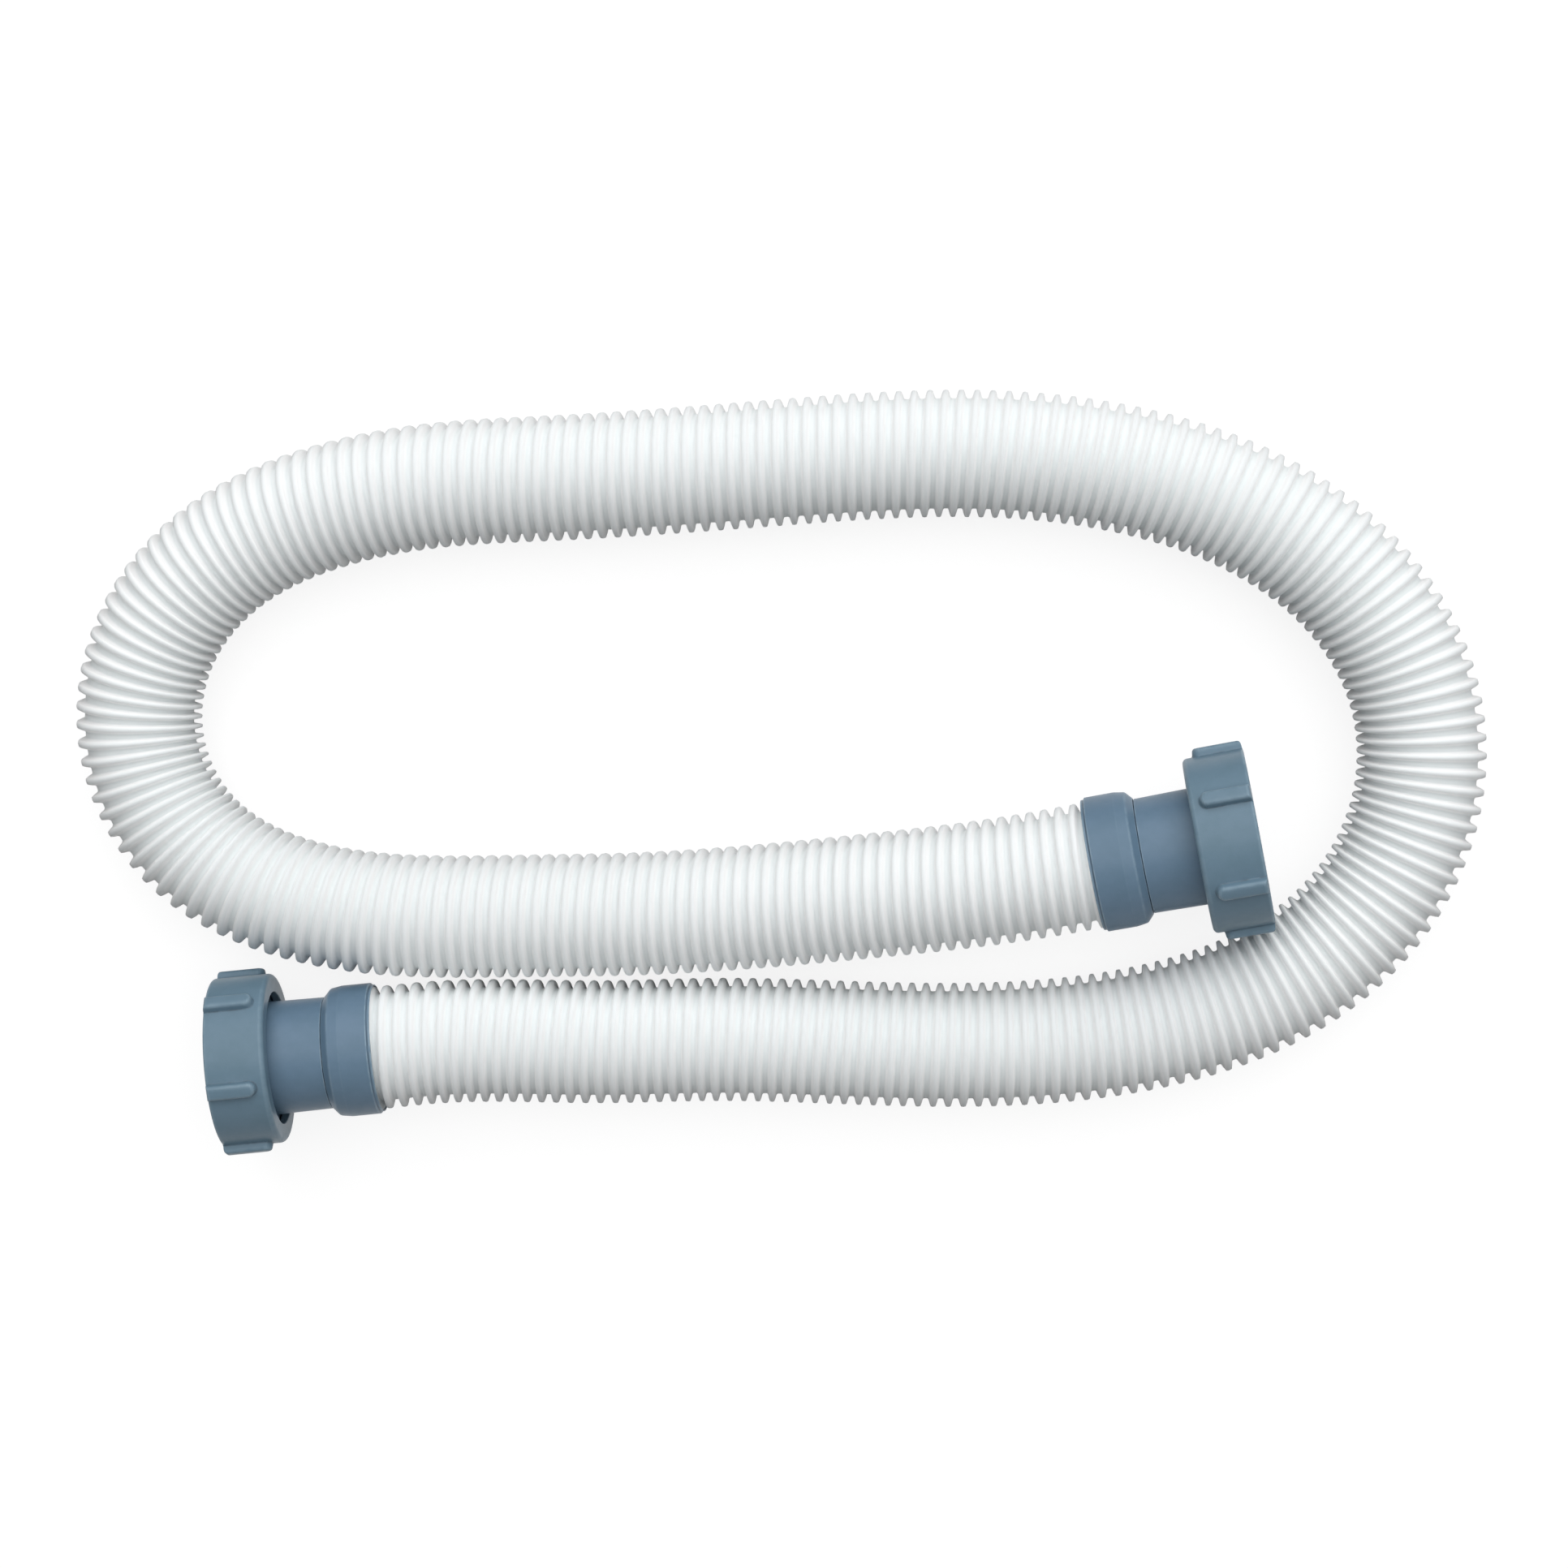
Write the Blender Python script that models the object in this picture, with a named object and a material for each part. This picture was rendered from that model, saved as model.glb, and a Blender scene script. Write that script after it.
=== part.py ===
"""Pool vacuum hose: a corrugated 38 mm hose with a captive threaded nut at each end.

Each end is a fitting made of four pieces: a cuff that holds the hose, a flanged
tail, a loose coupling nut that the flange keeps on the tail, and a flat gasket.
Fittings are modelled on their own +Z axis, from the hose towards the open mouth,
and are then placed by an empty. Everything stands on the floor at z = 0.
"""

import math

import bmesh
import bpy
import numpy as np
from mathutils import Matrix, Vector

# Clearance between faces that touch, in metres as everything here.
GAP = 0.0003
# Straight sides that stand for one full turn of a round piece.
FACETS = 48
ARC_STEPS = 4
SHARP_CORNER = math.radians(35.0)
MERGE = 0.00001

# Hose
HOSE_RADIUS = 0.0225
HOSE_POINTS = 74
HOSE_SIDE_RESOLUTION = 4
HOSE_STRAIGHT = 0.020

# Cuff: the sleeve over the end of the hose
CUFF_WALL = 0.0012
CUFF_SOCKET_DEPTH = 0.0140
CUFF_END_WALL = 0.0037
CUFF_LIP_WALL = 0.0005
CUFF_LIP_LENGTH = 0.0011
CUFF_TAPER_LENGTH = 0.0040
CUFF_TAPER_DROP = 0.00065
CUFF_TAPER_ROUNDING = 0.0040
CUFF_SHOULDER_LENGTH = 0.0024
CUFF_SHOULDER_ROUNDING = 0.0015
CUFF_EDGE = 0.0003

# Tail: the neck that the nut runs on, with its flange
BORE_RADIUS = 0.0175
TAIL_WALL = 0.0020
NECK_STEP = 0.0009
NECK_LENGTH = 0.0223
NECK_DRAFT = 0.0003
FLANGE_RADIUS = 0.0266
FLANGE_THICKNESS = 0.0030
FLANGE_FILLET = 0.0010
FLANGE_EDGE = 0.0005

# Gasket
GASKET_THICKNESS = 0.0030
GASKET_BORE_MARGIN = 0.0006
GASKET_RIM_MARGIN = 0.0003
GASKET_EDGE = 0.0005

# Coupling nut
NUT_LENGTH = 0.0215
NUT_WALL = 0.0026
NUT_REAR_WALL = 0.0030
NUT_HOLE_CLEARANCE = 0.0035
NUT_FLANGE_CLEARANCE = 0.0018
NUT_SHOULDER = 0.0018
NUT_MOUTH_EDGE = 0.0010
NUT_LEAD_IN = 0.0008
NUT_HOLE_EDGE = 0.0004

# Grip ribs around the nut
RIB_COUNT = 6
RIB_HEIGHT = 0.0030
RIB_WIDTH = 0.0055
RIB_LENGTH = 0.0174
RIB_EDGE = 0.0012
RIB_ROOT = 0.0012
RIB_EDGE_SEGMENTS = 3
RIB_EDGE_PROFILE = 0.5
RIB_MOUTH_SETBACK = 0.0003

# How each end lies: place of the cuff's mouth, direction of the open end
# seen from above, tilt upwards, turn of the nut, and how far the nut is slid back.
END_A_PLACE = (-0.1306, -0.0396)
END_A_YAW = math.radians(185.3)
END_A_PITCH = math.radians(6.0)
END_A_NUT_TURN = math.radians(-7.9)
END_A_NUT_BACK = 0.0006

END_B_PLACE = (0.1285, 0.0320)
END_B_LIFT = 0.0176
END_B_YAW = math.radians(11.5)
END_B_PITCH = math.radians(5.0)
END_B_NUT_TURN = math.radians(23.8)
END_B_NUT_BACK = 0.0

# The hose's route between the ends: x, y and how far it is lifted off the floor.
ROUTE = [
    (-0.0494, -0.0373, 0.0015),
    (-0.0084, -0.0361, 0.0004),
    (0.0346, -0.0365, 0.0),
    (0.0760, -0.0370, 0.0),
    (0.1180, -0.0347, 0.0),
    (0.1600, -0.0269, 0.0),
    (0.1980, -0.0110, 0.0),
    (0.2278, 0.0159, 0.0),
    (0.2441, 0.0549, 0.0),
    (0.2405, 0.0964, 0.0),
    (0.2184, 0.1315, 0.0),
    (0.1840, 0.1561, 0.0),
    (0.1445, 0.1699, 0.0),
    (0.1030, 0.1760, 0.0),
    (0.0610, 0.1765, 0.0),
    (0.0190, 0.1739, 0.0),
    (-0.0230, 0.1708, 0.0),
    (-0.0650, 0.1683, 0.0),
    (-0.1070, 0.1658, 0.0),
    (-0.1478, 0.1581, 0.0),
    (-0.1852, 0.1411, 0.0),
    (-0.2122, 0.1105, 0.0),
    (-0.2187, 0.0704, 0.0),
    (-0.2004, 0.0347, 0.0),
    (-0.1634, 0.0147, 0.0),
    (-0.1210, 0.0086, 0.0),
    (-0.0795, 0.0089, 0.0002),
    (-0.0375, 0.0103, 0.0015),
    (0.0045, 0.0136, 0.0042),
    (0.0460, 0.0185, 0.0084),
]
SPLINE_STEPS = 24

# Sizes and stations that follow from the ones above. A station is a distance
# along the fitting's axis from the mouth of the cuff.
SOCKET_RADIUS = HOSE_RADIUS + GAP
CUFF_RADIUS = SOCKET_RADIUS + CUFF_WALL
HOSE_END = CUFF_SOCKET_DEPTH
SOCKET_FLOOR = HOSE_END + GAP
CUFF_LENGTH = SOCKET_FLOOR + CUFF_END_WALL
TAIL_START = HOSE_END + GAP
TAIL_RADIUS = BORE_RADIUS + TAIL_WALL
NECK_START = CUFF_LENGTH + GAP
NECK_RADIUS = TAIL_RADIUS + NECK_STEP
NECK_FLANGE_RADIUS = NECK_RADIUS + NECK_DRAFT
FLANGE_BACK = NECK_START + NECK_LENGTH
FLANGE_FRONT = FLANGE_BACK + FLANGE_THICKNESS
GASKET_START = FLANGE_FRONT + GAP
NUT_HOLE_RADIUS = NECK_FLANGE_RADIUS + NUT_HOLE_CLEARANCE
NUT_BORE_RADIUS = FLANGE_RADIUS + NUT_FLANGE_CLEARANCE
NUT_RADIUS = NUT_BORE_RADIUS + NUT_WALL
NUT_START = FLANGE_BACK - GAP - NUT_REAR_WALL

WHITE_PLASTIC = (0.86, 0.88, 0.87, 1.0)
BLUE_GREY_PLASTIC = (0.14, 0.23, 0.32, 1.0)
BLACK_RUBBER = (0.02, 0.02, 0.022, 1.0)


def material(name, colour, roughness):
    """A plain coloured plastic or rubber."""
    made = bpy.data.materials.new(name)
    made.use_nodes = True
    shader = made.node_tree.nodes["Principled BSDF"]
    shader.inputs["Base Color"].default_value = colour
    shader.inputs["Roughness"].default_value = roughness
    shader.inputs["Metallic"].default_value = 0.0
    made.diffuse_color = colour
    return made


def arc(centre, radii, start, end):
    """Points on an elliptic arc in the (radius, station) plane, angles in degrees."""
    points = []
    for step in range(ARC_STEPS + 1):
        angle = math.radians(start + (end - start) * step / ARC_STEPS)
        radius = centre[0] + radii[0] * math.cos(angle)
        station = centre[1] + radii[1] * math.sin(angle)
        points.append((radius, station))
    return points


def eased(before, corner, after, radius):
    """Points that round a corner of an outline, as far as its two sides allow."""
    corner = Vector(corner)
    side_before = Vector(before) - corner
    side_after = Vector(after) - corner
    half_angle = side_before.angle(side_after) / 2
    reach = min(radius / math.tan(half_angle), side_before.length / 2, side_after.length / 2)
    start = side_before.normalized() * reach
    end = side_after.normalized() * reach
    centre = (start + end).normalized() * (reach / math.cos(half_angle))
    first = (start - centre).normalized()
    last = (end - centre).normalized()
    spokes = [first.slerp(last, step / ARC_STEPS) for step in range(ARC_STEPS + 1)]
    return [tuple(corner + centre + spoke * reach * math.tan(half_angle)) for spoke in spokes]


def turned_mesh(name, outline):
    """Spin a closed outline of (radius, station) points about the Z axis."""
    shape = bmesh.new()
    corners = [shape.verts.new((radius, 0.0, station)) for radius, station in outline]
    edges = [shape.edges.new((corners[i - 1], corners[i])) for i in range(len(corners))]
    bmesh.ops.spin(
        shape,
        geom=corners + edges,
        cent=(0.0, 0.0, 0.0),
        axis=(0.0, 0.0, 1.0),
        angle=math.tau,
        steps=FACETS,
        use_merge=True,
        use_duplicate=False,
    )
    bmesh.ops.remove_doubles(shape, verts=shape.verts, dist=MERGE)
    bmesh.ops.recalc_face_normals(shape, faces=shape.faces)
    return finished_mesh(name, shape)


def finished_mesh(name, shape):
    """Turn a bmesh into a mesh that is shaded smooth with sharp corners."""
    mesh = bpy.data.meshes.new(name)
    shape.to_mesh(mesh)
    shape.free()
    mesh.shade_smooth()
    mesh.set_sharp_from_angle(angle=SHARP_CORNER)
    return mesh


def place(name, mesh, finish, parent, station=0.0, turn=0.0):
    """Put a piece on a fitting's axis, at a station and turned about the axis."""
    piece = bpy.data.objects.new(name, mesh)
    bpy.context.scene.collection.objects.link(piece)
    mesh.materials.append(finish)
    piece.parent = parent
    piece.location = (0.0, 0.0, station)
    piece.rotation_euler = (0.0, 0.0, turn)
    return piece


def cuff_outline():
    """The sleeve: thin lip, barrel with a slight taper, sloping shoulder, stepped bore."""
    lip_radius = SOCKET_RADIUS + CUFF_LIP_WALL
    collar_radius = TAIL_RADIUS + GAP
    shoulder_station = CUFF_LENGTH - CUFF_SHOULDER_LENGTH
    barrel_start = (CUFF_RADIUS, CUFF_LIP_LENGTH + CUFF_EDGE)
    taper_start = (CUFF_RADIUS, shoulder_station - CUFF_TAPER_LENGTH)
    shoulder_start = (CUFF_RADIUS - CUFF_TAPER_DROP, shoulder_station)
    shoulder_end = (NECK_RADIUS + CUFF_EDGE, CUFF_LENGTH)
    outer = [(lip_radius, 0.0), (lip_radius, CUFF_LIP_LENGTH)]
    outer += [(CUFF_RADIUS - CUFF_EDGE, CUFF_LIP_LENGTH), barrel_start]
    outer += eased(barrel_start, taper_start, shoulder_start, CUFF_TAPER_ROUNDING)
    outer += eased(taper_start, shoulder_start, shoulder_end, CUFF_SHOULDER_ROUNDING)
    inner = [shoulder_end, (collar_radius, CUFF_LENGTH), (collar_radius, SOCKET_FLOOR)]
    inner += [(SOCKET_RADIUS, SOCKET_FLOOR), (SOCKET_RADIUS, 0.0)]
    return outer + inner


def tail_outline():
    """The bored neck with a step that stops the cuff and a flange for the gasket."""
    fillet_centre = (NECK_FLANGE_RADIUS + FLANGE_FILLET, FLANGE_BACK - FLANGE_FILLET)
    outer = [(BORE_RADIUS, TAIL_START), (TAIL_RADIUS, TAIL_START)]
    outer += [(TAIL_RADIUS, NECK_START), (NECK_RADIUS, NECK_START)]
    outer += arc(fillet_centre, (FLANGE_FILLET, FLANGE_FILLET), 180.0, 90.0)
    outer += [(FLANGE_RADIUS - FLANGE_EDGE, FLANGE_BACK), (FLANGE_RADIUS, FLANGE_BACK + FLANGE_EDGE)]
    outer += [(FLANGE_RADIUS, FLANGE_FRONT - FLANGE_EDGE), (FLANGE_RADIUS - FLANGE_EDGE, FLANGE_FRONT)]
    return outer + [(BORE_RADIUS, FLANGE_FRONT)]


def gasket_outline():
    """A flat ring with eased edges, a little smaller than the flange behind it."""
    low = BORE_RADIUS + GASKET_BORE_MARGIN
    high = FLANGE_RADIUS - GASKET_RIM_MARGIN
    ease = GASKET_EDGE
    top = GASKET_THICKNESS
    return [
        (low + ease, 0.0), (high - ease, 0.0), (high, ease), (high, top - ease),
        (high - ease, top), (low + ease, top), (low, top - ease), (low, ease),
    ]


def nut_outline():
    """The nut's shell: rear wall with a wide hole, rounded shoulder, open mouth."""
    shoulder_centre = (NUT_RADIUS - NUT_SHOULDER, NUT_SHOULDER)
    mouth_centre = (NUT_RADIUS - NUT_MOUTH_EDGE, NUT_LENGTH - NUT_MOUTH_EDGE)
    outer = [(NUT_HOLE_RADIUS, NUT_HOLE_EDGE), (NUT_HOLE_RADIUS + NUT_HOLE_EDGE, 0.0)]
    outer += arc(shoulder_centre, (NUT_SHOULDER, NUT_SHOULDER), -90.0, 0.0)
    outer += arc(mouth_centre, (NUT_MOUTH_EDGE, NUT_MOUTH_EDGE), 0.0, 90.0)
    inner = [(NUT_BORE_RADIUS + NUT_LEAD_IN, NUT_LENGTH), (NUT_BORE_RADIUS, NUT_LENGTH - NUT_LEAD_IN)]
    inner += [(NUT_BORE_RADIUS, NUT_REAR_WALL), (NUT_HOLE_RADIUS, NUT_REAR_WALL)]
    return outer + inner


def rib_mesh():
    """The grip ribs: bars with a round nose and eased edges, rooted in the nut's wall."""
    shape = bmesh.new()
    half = RIB_WIDTH / 2
    front = NUT_LENGTH - RIB_MOUTH_SETBACK
    nose = front - RIB_LENGTH + half
    plan = [(half, front), (-half, front)]
    for step in range(2 * ARC_STEPS + 1):
        angle = math.pi + math.pi * step / (2 * ARC_STEPS)
        plan.append((half * math.cos(angle), nose + half * math.sin(angle)))
    root = NUT_RADIUS - RIB_ROOT
    base = shape.faces.new([shape.verts.new((root, across, along)) for across, along in plan])
    grown = bmesh.ops.extrude_face_region(shape, geom=[base])["geom"]
    top = [item for item in grown if isinstance(item, bmesh.types.BMVert)]
    bmesh.ops.translate(shape, verts=top, vec=(RIB_ROOT + RIB_HEIGHT, 0.0, 0.0))
    rim = [edge for edge in shape.edges if all(vertex in top for vertex in edge.verts)]
    bmesh.ops.bevel(
        shape,
        geom=rim,
        offset=RIB_EDGE,
        segments=RIB_EDGE_SEGMENTS,
        profile=RIB_EDGE_PROFILE,
        affect="EDGES",
    )
    bmesh.ops.spin(
        shape,
        geom=shape.verts[:] + shape.edges[:] + shape.faces[:],
        cent=(0.0, 0.0, 0.0),
        axis=(0.0, 0.0, 1.0),
        angle=math.tau * (RIB_COUNT - 1) / RIB_COUNT,
        steps=RIB_COUNT - 1,
        use_duplicate=True,
    )
    bmesh.ops.recalc_face_normals(shape, faces=shape.faces)
    return finished_mesh("ribs", shape)


def coupling_nut(name, finish, parent, station, turn):
    """The turned shell of the nut with its grip ribs united to it."""
    nut = place(name, turned_mesh(name, nut_outline()), finish, parent, station, turn)
    ribs = place("ribs_of_" + name, rib_mesh(), finish, parent, station, turn)
    ribs.hide_render = True
    ribs.display_type = "WIRE"
    union = nut.modifiers.new("grip ribs", "BOOLEAN")
    union.operation = "UNION"
    union.solver = "EXACT"
    union.object = ribs
    return nut


def outward(yaw, pitch):
    """The direction in which a fitting's mouth looks."""
    level = math.cos(pitch)
    return Vector((math.cos(yaw) * level, math.sin(yaw) * level, math.sin(pitch)))


def resting_height(direction, station, turn):
    """How high the mouth of the cuff is when the fitting's nut lies on the floor."""
    place_in_fitting = Matrix.Translation((0.0, 0.0, station)) @ Matrix.Rotation(turn, 4, "Z")
    tilted = upright(direction).to_matrix().to_4x4() @ place_in_fitting
    return -min((tilted @ vertex.co).z for vertex in rib_mesh().vertices)


def upright(direction):
    """The turn that takes +Z to the direction and keeps +X on the upper side."""
    return direction.to_track_quat("Z", "X")


def fitting(letter, finishes, place_xy, height, yaw, pitch, nut_back, nut_turn):
    """One end of the hose: cuff, flanged tail, gasket and loose nut on one axis."""
    plastic, rubber = finishes
    frame = bpy.data.objects.new("fitting_" + letter, None)
    bpy.context.scene.collection.objects.link(frame)
    frame.rotation_euler = upright(outward(yaw, pitch)).to_euler()
    frame.location = (place_xy[0], place_xy[1], height)
    place("hose_cuff_" + letter, turned_mesh("cuff", cuff_outline()), plastic, frame)
    place("flanged_tail_" + letter, turned_mesh("tail", tail_outline()), plastic, frame)
    place("gasket_" + letter, turned_mesh("gasket", gasket_outline()), rubber, frame, GASKET_START)
    coupling_nut("coupling_nut_" + letter, plastic, frame, NUT_START - nut_back, nut_turn)


def smooth_curve(points, first_slope, last_slope):
    """A cubic spline through the points, with its slopes given at both ends."""
    spans = np.linalg.norm(np.diff(points, axis=0), axis=1)
    system = np.eye(len(points))
    slopes = np.zeros_like(points)
    slopes[0], slopes[-1] = first_slope, last_slope
    for i in range(1, len(points) - 1):
        before, after = spans[i - 1], spans[i]
        system[i, i - 1:i + 2] = (after, 2 * (before + after), before)
        slopes[i] = 3 * (after / before * (points[i] - points[i - 1]))
        slopes[i] += 3 * (before / after * (points[i + 1] - points[i]))
    slopes = np.linalg.solve(system, slopes)
    t = np.linspace(0.0, 1.0, SPLINE_STEPS, endpoint=False)[:, None]
    pieces = []
    for i, span in enumerate(spans):
        piece = (2 * t**3 - 3 * t**2 + 1) * points[i] + (t**3 - 2 * t**2 + t) * span * slopes[i]
        piece += (3 * t**2 - 2 * t**3) * points[i + 1] + (t**3 - t**2) * span * slopes[i + 1]
        pieces.append(piece)
    return np.vstack(pieces + [points[-1:]])


def evenly_spaced(line, count):
    """The same line with its points spread evenly along it."""
    steps = np.linalg.norm(np.diff(line, axis=0), axis=1)
    distance = np.concatenate(([0.0], np.cumsum(steps)))
    wanted = np.linspace(0.0, distance[-1], count)
    return np.column_stack([np.interp(wanted, distance, line[:, axis]) for axis in range(3)])


def hose_route(start, start_direction, end, end_direction):
    """The hose's centre line, from inside one cuff along the floor into the other."""
    lying = [np.array((x, y, HOSE_RADIUS + lift)) for x, y, lift in ROUTE]
    leaving = [np.array(start + start_direction * along) for along in (HOSE_END, 0.0, -HOSE_STRAIGHT)]
    entering = [np.array(end + end_direction * along) for along in (-HOSE_STRAIGHT, 0.0, HOSE_END)]
    points = np.array(leaving + lying + entering)
    line = smooth_curve(points, -np.array(start_direction), np.array(end_direction))
    line[:, 2] = np.maximum(line[:, 2], HOSE_RADIUS)
    return evenly_spaced(line, HOSE_POINTS)


def hose(route, finish):
    """The plain tube that stands for the corrugated hose."""
    curve = bpy.data.curves.new("hose", "CURVE")
    curve.dimensions = "3D"
    curve.bevel_depth = HOSE_RADIUS
    curve.bevel_resolution = HOSE_SIDE_RESOLUTION
    curve.use_fill_caps = True
    spline = curve.splines.new("POLY")
    spline.points.add(len(route) - 1)
    for point, place_on_route in zip(spline.points, route):
        point.co = (*place_on_route, 1.0)
    curve.materials.append(finish)
    tube = bpy.data.objects.new("hose", curve)
    bpy.context.scene.collection.objects.link(tube)


def build():
    for old in list(bpy.data.objects):
        bpy.data.objects.remove(old, do_unlink=True)
    white = material("white_plastic", WHITE_PLASTIC, 0.45)
    blue_grey = material("blue_grey_plastic", BLUE_GREY_PLASTIC, 0.35)
    rubber = material("black_rubber", BLACK_RUBBER, 0.7)
    finishes = (blue_grey, rubber)

    out_a = outward(END_A_YAW, END_A_PITCH)
    out_b = outward(END_B_YAW, END_B_PITCH)
    height_a = resting_height(out_a, NUT_START - END_A_NUT_BACK, END_A_NUT_TURN)
    height_b = HOSE_RADIUS + END_B_LIFT
    fitting("a", finishes, END_A_PLACE, height_a, END_A_YAW, END_A_PITCH, END_A_NUT_BACK, END_A_NUT_TURN)
    fitting("b", finishes, END_B_PLACE, height_b, END_B_YAW, END_B_PITCH, END_B_NUT_BACK, END_B_NUT_TURN)

    start = Vector((*END_A_PLACE, height_a))
    end = Vector((*END_B_PLACE, height_b))
    hose(hose_route(start, out_a, end, out_b), white)


build()
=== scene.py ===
"""Looks of the pool vacuum hose.

A white corrugated hose lies in one flat loop between two moulded end fittings.
Each fitting is a cuff, a flanged tail, a flat gasket and a loose coupling nut.
Lengths are in metres. A fitting is modelled on its own +Z axis, from the hose
towards the open mouth, and a station is a distance along that axis from the
mouth of the cuff.
"""

import math

import bpy
import numpy as np
from mathutils import Matrix, Vector


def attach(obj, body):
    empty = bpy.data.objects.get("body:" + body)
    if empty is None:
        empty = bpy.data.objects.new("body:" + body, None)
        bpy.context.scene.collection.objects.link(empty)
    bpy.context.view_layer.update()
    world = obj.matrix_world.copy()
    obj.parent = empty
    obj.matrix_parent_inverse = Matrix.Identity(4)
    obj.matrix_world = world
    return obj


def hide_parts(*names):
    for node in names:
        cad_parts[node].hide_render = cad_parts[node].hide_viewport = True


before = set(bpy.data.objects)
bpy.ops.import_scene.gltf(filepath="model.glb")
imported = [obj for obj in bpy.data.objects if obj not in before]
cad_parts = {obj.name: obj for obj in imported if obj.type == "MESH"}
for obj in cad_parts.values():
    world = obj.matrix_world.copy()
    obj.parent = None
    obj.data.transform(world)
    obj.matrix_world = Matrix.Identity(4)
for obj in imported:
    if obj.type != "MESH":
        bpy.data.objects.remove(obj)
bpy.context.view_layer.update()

MILLIMETRE = 0.001

# Camera
LOOK_AT = Vector((0.0180, 0.0582, 0.0225))
LEAN_RIGHT = math.radians(3.9)
LEAN_BACK = math.radians(6.0)
CAMERA_DISTANCE = 0.90
LENS = 57.04

# Floor and light
FLOOR_SIZE = 8.0
FLOOR_COLOUR = (0.25, 0.25, 0.25, 1.0)
FLOOR_GLOW = 0.84
DAYLIGHT = 0.28
KEY_FROM = Vector((0.15, 0.66, 0.9))
KEY_DISTANCE = 1.9
KEY_SIZE = 3.0
KEY_POWER = 52.0

# Hose
HOSE_DIAMETER = 0.045
HOSE_BORE_RADIUS = 0.0184
GROOVE_DEPTH = 0.0031
RIDGE_PITCH = 0.0053
HOSE_SIDES = 36
HOSE_BORE_ROWS = 140
HOSE_LINE_POINTS = 1200
HOSE_PATH_POINTS = 120
HOSE_STRAIGHT = 0.020
HOSE_SEAT = 0.014
SPLINE_STEPS = 48
WELD = 0.00002

# Half of the ridge's section: millimetres from its middle, and share of its height
RIDGE_SECTION = ((0.0, 1.0), (0.78, 0.95), (1.18, 0.62), (1.56, 0.17), (1.96, 0.01))

# The hose's route between the ends: x, y and how far it is lifted off the floor
ROUTE = [
    (-0.0494, -0.0373, 0.0015),
    (-0.0084, -0.0361, 0.0004),
    (0.0346, -0.0365, 0.0),
    (0.0760, -0.0370, 0.0),
    (0.1180, -0.0347, 0.0),
    (0.1600, -0.0269, 0.0),
    (0.1980, -0.0110, 0.0),
    (0.2278, 0.0159, 0.0),
    (0.2441, 0.0549, 0.0),
    (0.2405, 0.0964, 0.0),
    (0.2184, 0.1315, 0.0),
    (0.1840, 0.1561, 0.0),
    (0.1445, 0.1699, 0.0),
    (0.1030, 0.1760, 0.0),
    (0.0610, 0.1765, 0.0),
    (0.0190, 0.1739, 0.0),
    (-0.0230, 0.1708, 0.0),
    (-0.0650, 0.1683, 0.0),
    (-0.1070, 0.1658, 0.0),
    (-0.1478, 0.1581, 0.0),
    (-0.1852, 0.1411, 0.0),
    (-0.2122, 0.1105, 0.0),
    (-0.2187, 0.0704, 0.0),
    (-0.2004, 0.0347, 0.0),
    (-0.1634, 0.0147, 0.0),
    (-0.1210, 0.0086, 0.0),
    (-0.0795, 0.0089, 0.0002),
    (-0.0375, 0.0103, 0.0015),
    (0.0045, 0.0136, 0.0042),
    (0.0460, 0.0185, 0.0084),
]

# How each end lies: middle of the cuff's mouth, direction of the open end seen from
# above, tilt upwards and turn of the nut in degrees, and how far the nut is slid back
ENDS = {
    "a": {
        "mouth": (-0.1306, -0.0396, 0.029232), "yaw": 185.3, "tilt": 6.0, "turn": -7.9,
        "back": 0.0006,
    },
    "b": {
        "mouth": (0.1285, 0.0320, 0.0401), "yaw": 11.5, "tilt": 5.0, "turn": 23.8,
        "back": 0.0,
    },
}

# Outlines of the turned pieces: radius, station and rounding of each corner, in
# millimetres. The bead is cement between the hose and the mouth of the cuff.
CUFF_CORNERS = (
    (23.3, 0.0, 0.15), (23.3, 0.95, 0.3), (24.0, 1.35, 0.25), (24.0, 11.6, 4.0),
    (23.35, 15.6, 1.5), (20.7, 18.0, 0.15), (19.8, 18.0, 0.0), (19.8, 14.3, 0.3),
    (22.8, 14.3, 0.3), (22.8, 0.0, 0.15),
)
TAIL_CORNERS = (
    (17.5, 14.3, 0.3), (19.5, 14.3, 0.3), (19.5, 18.3, 0.0), (20.4, 18.3, 0.1),
    (20.7, 40.6, 1.0), (26.6, 40.6, 0.5), (26.6, 43.6, 0.5), (17.5, 43.6, 0.4),
)
GASKET_CORNERS = ((26.3, 43.9, 0.5), (26.3, 46.9, 0.5), (18.1, 46.9, 0.5), (18.1, 43.9, 0.5))
BEAD_CORNERS = ((18.9, 0.3, 0.3), (22.7, 0.3, 0.3), (22.7, 3.0, 0.3), (18.9, 3.0, 0.3))
TURNED_SIDES = 128
CORNER_STEPS = 6
CORNER_SHARE = 0.45
HOLDING_STEP = 0.3 * MILLIMETRE

# Painted highlights on edges and painted shade in hollows: they start at the first
# bend, in radians for each millimetre, and are full when the bend is larger by the second
SOFT_BEND = 0.08
BEND_RANGE = 0.9
SHORTEST_EDGE_SQUARED = 1e-12

# Coupling nut, measured from its own rear face
NUT_START = 0.0373
NUT_LENGTH = 0.0215
NUT_RADIUS = 0.0310
NUT_BORE_RADIUS = 0.0284
NUT_HOLE_RADIUS = 0.0242
NUT_REAR_WALL = 0.0030
NUT_SHOULDER = 0.0018
NUT_EDGE = 0.0010
NUT_HOLE_EDGE = 0.0004
NUT_CORNER = 0.0005

# Lead-in at the nut's mouth: how much wider than the bore, and how far inside the mouth
NUT_LEAD_IN = ((0.0009, 0.0), (0.0007, 0.0001), (0.0001, 0.0007))

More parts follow.
